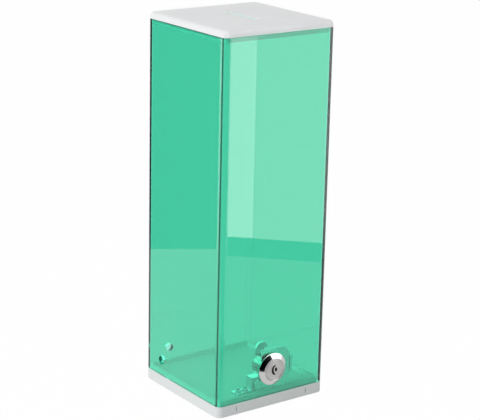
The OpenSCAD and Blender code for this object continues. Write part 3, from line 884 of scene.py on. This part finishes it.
def makeKeeper():
    low, high = edgesOf("keeper")
    f = keeperForm
    floor, top = low.z / mm - lockHeight / mm, high.z / mm - lockHeight / mm
    left, lip = low.x / mm, high.x / mm
    postOut, postIn = f["postOut"], f["postIn"]
    outline = [(left, floor), (postIn, floor), (postIn, top - f["thick"]), (lip, top - f["thick"]),
               (lip, top), (postOut, top), (postOut, floor + f["foot"]), (left, floor + f["foot"])]
    middle = ((low.y + high.y) / 2 - wallFace) / mm
    mesh = sheetMesh("keeper", [outline], (high.y - low.y) / mm, f["bevel"], standUp(middle))
    keeper = linkMesh("keeperBracket", mesh)
    smoothFaces(keeper, sharpAbove=35)
    return finishPiece(keeper, "base", zincPlate, ["keeper"])


clipForm = {"upperEnd": -9.0, "lowerEnd": -13.4, "legsTo": 8.0, "reach": 18.5, "half": 16.1,
            "fold": 10.5, "inner": 7.15, "rise": 1.6, "tabRoot": 0.8, "tabLength": 2.8,
            "tabHalf": 7.2, "tabTaper": 0.6, "tabTurn": 0.5, "thick": 0.95, "wallGap": 0.05,
            "slotGap": 0.05, "legSteps": 8, "turnSteps": 24, "bevel": 0.18}


def clipStations():
    # across the strip, from the lower leg's end round to the upper's: inner, fold and outer
    # point, and how far the outer edge rises
    f = clipForm
    stations = []

    def addLeg(end, sign):
        for i in range(f["legSteps"] + 1):
            x = end + (f["legsTo"] - end) * i / f["legSteps"]
            inner, fold, outer = ((x, sign * f[key]) for key in ("inner", "fold", "half"))
            stations.append((inner, fold, outer, f["rise"] if i < f["legSteps"] else 0))
    addLeg(f["lowerEnd"], -1)
    radius = f["reach"] - f["legsTo"]
    slotReach = lockForm["barrelRadius"] + f["slotGap"] - f["legsTo"]
    for i in range(1, f["turnSteps"]):
        a = math.radians(-90 + 180 * i / f["turnSteps"])
        outer = (f["legsTo"] + radius * math.cos(a),
                 math.copysign(f["half"] - radius, a) + radius * math.sin(a))
        reachIn = min(slotReach / max(math.cos(a), 1e-6), f["inner"] / max(abs(math.sin(a)), 1e-6))
        inner = (f["legsTo"] + reachIn * math.cos(a), reachIn * math.sin(a))
        stations.append((inner, tuple((p + q) / 2 for p, q in zip(inner, outer)), outer, 0))
    upper = len(stations)
    addLeg(f["upperEnd"], 1)
    stations[upper:] = stations[upper:][::-1]
    return stations


def makeClip():
    f = clipForm
    shape = bmesh.new()
    depth = lockForm["clipFrom"] + f["wallGap"]
    rows = []
    for inner, fold, outer, rise in clipStations():
        rows.append([shape.verts.new(onLock(p[0] * mm, (depth + lift) * mm, p[1] * mm))
                     for p, lift in ((inner, 0), (fold, 0), (outer, rise))])
    for a, b in zip(rows, rows[1:]):
        for i in range(2):
            shape.faces.new((a[i], a[i + 1], b[i + 1], b[i]))
    bend, wide = f["reach"], f["tabHalf"]
    root, tip, narrow = bend - f["tabRoot"], bend + f["tabLength"], wide - f["tabTaper"]
    tab = [shape.verts.new(onLock(x * mm, (depth + lift) * mm, z * mm)) for x, lift, z in (
        (root, 0, -wide), (bend, 0, -wide), (tip, f["tabTurn"], -narrow),
        (tip, f["tabTurn"], narrow), (bend, 0, wide), (root, 0, wide))]
    shape.faces.new((tab[0], tab[1], tab[4], tab[5]))
    shape.faces.new((tab[1], tab[2], tab[3], tab[4]))
    bmesh.ops.recalc_face_normals(shape, faces=shape.faces)
    if shape.faces[0].normal.y > 0:
        bmesh.ops.reverse_faces(shape, faces=shape.faces)
    mesh = bpy.data.meshes.new("springClip")
    shape.to_mesh(mesh)
    shape.free()
    clip = linkMesh("springClip", mesh)
    thick = clip.modifiers.new("thickness", "SOLIDIFY")
    thick.thickness = f["thick"] * mm
    thick.offset = -1
    soften = clip.modifiers.new("edges", "BEVEL")
    soften.width = f["bevel"] * mm
    soften.segments = 2
    soften.limit_method = "ANGLE"
    soften.angle_limit = math.radians(40)        # leaves the turn's shallow facets alone
    bakeModifiers(clip)
    smoothFaces(clip, sharpAbove=35)
    return finishPiece(clip, "case", clipSteel, ["spring_clip"])


makeCam()
makeKeeper()
makeClip()
print("cam, keeper and clip made")

# feet, one sample set at each corner


def makeFootMesh():
    f = footForm
    r, t, e = f["radius"], f["thick"], f["edge"]
    profile = [(0, f["dish"]), (r - 2 * e, f["dish"]), (r - 1.4 * e, 0), (r - e, 0)]
    profile += [(r - e + e * math.sin(a), e - e * math.cos(a))
                for a in (math.pi * i / 8 for i in (1, 2, 3, 4))]
    profile += [(r, t), (0, t)]
    return loftMesh("footShape", [turnedLoop(0, 0, z, x, f["steps"]) for x, z in profile])


def makeFeet():
    sample = linkMesh("footShape", makeFootMesh())
    feet = growPiece("rubberFeet", cornerSet, cornerPorts, {
        "Sample": sample, "Spacing": footSpacing, "Material": rubber})
    bpy.data.objects.remove(sample)
    smoothFaces(feet, sharpAbove=35)
    return finishPiece(feet, "base", rubber, ["rubber_feet"])


makeFeet()
print("feet made")

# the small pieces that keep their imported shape

keptPieces = {"wafer_tumblers": waferBrass, "plug_retainer": waferBrass,
              "wafer_springs": springSteel, "retainer_spring": springSteel,
              "stop_plate": zincPlate, "lock_washer": fastenerSteel,
              "cam_screw": fastenerSteel, "keeper_screws": fastenerSteel}
for name, material in keptPieces.items():
    for slot in nodes[name].material_slots:
        slot.material = material
print("small pieces finished")

# floor, backdrop and light

studio = {"floorHalf": 4.0, "floorColour": 0.82, "whiteShare": 0.985, "ambient": 0.5}
lampAim = (0, 0, 0.15)
# the cap's lamp is a narrow beam level with it, for the side that the key lamp misses
lamps = {"keyLamp": {"place": (-1.5, -0.1, 1.0), "aim": lampAim, "size": 0.8, "energy": 14.0},
         "fillLamp": {"place": (0.5, -0.9, 1.7), "aim": lampAim, "size": 1.0, "energy": 1.5},
         "capLamp": {"place": (0.1, -0.75, 0.37), "aim": (0, -0.05, 0.30), "size": 0.12,
                     "energy": 0.02, "spread": 22, "mirrored": False}}
ceiling = {"from": 0.05, "full": 0.22, "glow": 2.6}
# upright panels round the tower: where they start and end, their lower and upper edge, and glow
panels = {"softboxRightNear": ((0.186, -0.380), (0.207, -0.359), 0.020, 0.6, 5.2),
          "softboxRight": ((0.207, -0.359), (0.40, -0.166), 0.020, 0.6, 3.0),
          "stripUnderRight": ((0.186, -0.380), (0.40, -0.166), 0.0, 0.020, 0.0),
          "flagLeft": ((-0.296, 0.297), (-0.12, 0.408), 0.0, 0.6, 0.0),
          "softboxLeft": ((-0.408, 0.08), (-0.302, 0.29), 0.0, 0.6, 3.6),
          "flagFrontLeft": ((-0.408, 0.079), (-0.40, -0.10), 0.0, 0.6, 0.0),
          "flagFront": ((-0.40, -0.10), (0.06, -0.50), 0.0, 0.7, 0.0),
          "flagFrontRight": ((0.06, -0.50), (0.165, -0.41), 0.0, 0.7, 0.0),
          "flagLock": ((-0.10, -0.105), (-0.03, -0.155), 0.0, 0.10, 0.0)}


def seenBy(tree, *labels):
    # 1 for any of the ray kinds named
    path = addNode(tree, "ShaderNodeLightPath")
    total = path.outputs[labels[0]]
    for label in labels[1:]:
        either = addNode(tree, "ShaderNodeMath", operation="MAXIMUM")
        tree.links.new(total, either.inputs[0])
        tree.links.new(path.outputs[label], either.inputs[1])
        total = either.outputs["Value"]
    return total


def seenPlainly(tree):
    # rays that show the background itself: straight, by gloss or through glass
    return seenBy(tree, "Is Camera Ray", "Is Glossy Ray", "Is Transmission Ray")


def addWorld():
    world = bpy.data.worlds.new("studio")
    bpy.context.scene.world = world
    world.use_nodes = True
    tree = world.node_tree
    tree.nodes.clear()
    soft = addNode(tree, "ShaderNodeBackground",
                   {"Color": (1, 1, 1, 1), "Strength": studio["ambient"]})
    plain = addNode(tree, "ShaderNodeBackground", {"Color": (1, 1, 1, 1)})
    # mirrored rays find a brighter ceiling overhead
    path = addNode(tree, "ShaderNodeLightPath")
    direct = addNode(tree, "ShaderNodeMath", {1: 0.5}, operation="LESS_THAN")
    mirrored = addNode(tree, "ShaderNodeMath", operation="MULTIPLY")
    way = addNode(tree, "ShaderNodeTexCoord")
    parts = addNode(tree, "ShaderNodeSeparateXYZ")
    rise = addNode(tree, "ShaderNodeMapRange", {
        "From Min": ceiling["from"], "From Max": ceiling["full"],
        "To Min": 0.0, "To Max": ceiling["glow"] - 1}, interpolation_type="SMOOTHSTEP")
    extra = addNode(tree, "ShaderNodeMath", operation="MULTIPLY")
    strength = addNode(tree, "ShaderNodeMath", {1: 1.0}, operation="ADD")
    mix = addNode(tree, "ShaderNodeMixShader")
    out = addNode(tree, "ShaderNodeOutputWorld")
    chainNodes(tree, (way, "Generated", parts, "Vector"), (parts, "Z", rise, "Value"),
               (rise, "Result", extra, 0))
    tree.links.new(seenBy(tree, "Is Glossy Ray", "Is Transmission Ray"), mirrored.inputs[0])
    chainNodes(tree, (path, "Diffuse Depth", direct, 0), (direct, "Value", mirrored, 1),
               (mirrored, "Value", extra, 1), (extra, "Value", strength, 0),
               (strength, "Value", plain, "Strength"))
    tree.links.new(seenPlainly(tree), mix.inputs["Fac"])
    chainNodes(tree, (soft, "Background", mix, 1), (plain, "Background", mix, 2),
               (mix, "Shader", out, "Surface"))


def addFloor():
    half = studio["floorHalf"]
    corners = [(-half, -half, 0), (half, -half, 0), (half, half, 0), (-half, half, 0)]
    mesh = bpy.data.meshes.new("floor")
    mesh.from_pydata(corners, [], [(0, 1, 2, 3)])
    floor = linkMesh("floor", mesh)
    grey = studio["floorColour"]
    material, tree, shader = newMaterial("floor", **{
        "Base Color": (grey, grey, grey, 1), "Roughness": 0.9, "Specular IOR Level": 0.0})
    glow = addNode(tree, "ShaderNodeEmission", {"Color": (1, 1, 1, 1), "Strength": 1.0})
    share = addNode(tree, "ShaderNodeMath", {1: studio["whiteShare"]}, operation="MULTIPLY")
    mix = addNode(tree, "ShaderNodeMixShader")
    tree.links.new(seenPlainly(tree), share.inputs[0])
    chainNodes(tree, (share, "Value", mix, "Fac"), (shader, "BSDF", mix, 1),
               (glow, "Emission", mix, 2),
               (mix, "Shader", tree.nodes["Material Output"], "Surface"))
    floor.data.materials.append(material)


def addPanel(name, start, end, low, high, glow):
    # an upright studio panel that only shows in reflections
    corners = [(*start, low), (*end, low), (*end, high), (*start, high)]
    mesh = bpy.data.meshes.new(name)
    mesh.from_pydata(corners, [], [(0, 1, 2, 3)])
    panel = linkMesh(name, mesh)
    material = bpy.data.materials.new(name)
    material.use_nodes = True
    tree = material.node_tree
    tree.nodes.clear()
    light = addNode(tree, "ShaderNodeEmission", {"Color": (1, 1, 1, 1), "Strength": glow})
    out = addNode(tree, "ShaderNodeOutputMaterial")
    tree.links.new(light.outputs["Emission"], out.inputs["Surface"])
    panel.data.materials.append(material)
    panel.visible_camera = False
    panel.visible_diffuse = False
    panel.visible_transmission = False
    panel.visible_shadow = False


def addLamp(name, place, aim, size, energy, spread=180, mirrored=True):
    data = bpy.data.lights.new(name, "AREA")
    data.shape = "SQUARE"
    data.size = size
    data.energy = energy
    data.spread = math.radians(spread)
    lamp = bpy.data.objects.new(name, data)
    bpy.context.scene.collection.objects.link(lamp)
    lamp.visible_camera = False
    lamp.visible_transmission = False
    lamp.visible_glossy = mirrored
    turn = (Vector(aim) - Vector(place)).to_track_quat("-Z", "Y").to_matrix().to_4x4()
    lamp.matrix_world = Matrix.Translation(Vector(place)) @ turn


addWorld()
addFloor()
for name, lamp in lamps.items():
    addLamp(name, **lamp)
for name, panel in panels.items():
    addPanel(name, *panel)
bpy.context.scene.view_settings.view_transform = "Standard"
print("light set")
